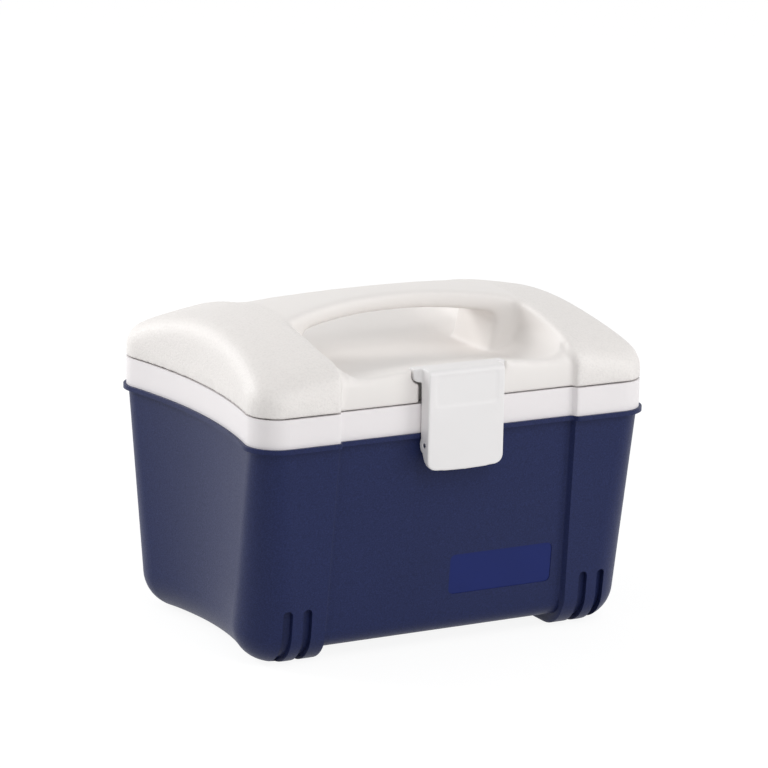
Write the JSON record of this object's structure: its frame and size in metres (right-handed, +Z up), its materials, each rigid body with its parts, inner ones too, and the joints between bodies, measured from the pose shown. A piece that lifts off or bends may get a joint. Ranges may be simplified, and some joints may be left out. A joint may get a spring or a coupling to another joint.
{
  "type": "insulated carrier",
  "caption": "Small hard insulated carrier: navy shell with stepped sides, white band, hinged white lid with a bridging handle, and a front latch.",
  "frame": {"origin": "centre of the base at the height of the feet", "axes": "+X along the length, +Y from the latch side to the hinge side, +Z up"},
  "size_m": [0.3, 0.238, 0.2297],
  "materials": {
    "navy_shell": "satin moulded polyethylene with a fine speckle",
    "badge_blue": "smooth, bare",
    "white_band": "smooth white plastic",
    "lid_white": "off-white, fine sand texture on the end humps",
    "latch_white": "smooth white plastic",
    "grip_grey": "soft grip strip",
    "foam": "rigid foam",
    "seal_rubber": "soft seal",
    "steel": "plain"
  },
  "bodies": {
    "body": {"outer_shell": "navy_shell", "base_fill_plugs": "navy_shell", "badge_plate": "badge_blue", "body_insulation": "foam", "inner_liner": "white_band", "latch_pin": "steel", "left_hinge_body_leaf": "latch_white", "right_hinge_body_leaf": "latch_white", "left_hinge_pin": "steel", "right_hinge_pin": "steel", "hinge_body_screws": "steel"},
    "lid": {"lid_cover": "lid_white", "handle_grip": "grip_grey", "lid_insulation": "foam", "lid_liner": "white_band", "lid_seal": "seal_rubber", "lid_liner_screws": "steel", "left_hinge_lid_leaf": "latch_white", "right_hinge_lid_leaf": "latch_white", "hinge_lid_screws": "steel"},
    "latch": {"latch": "latch_white"}
  },
  "joints": [
    {"name": "lid_hinge", "type": "hinge", "parent": "body", "child": "lid", "pos_m": [0, 0.115, 0.175], "axis": [-1, 0, 0], "range_deg": [0, 100]},
    {"name": "latch_hinge", "type": "hinge", "parent": "body", "child": "latch", "pos_m": [0, -0.113, 0.1476], "axis": [1, 0, 0], "range_deg": [0, 34]}
  ]
}
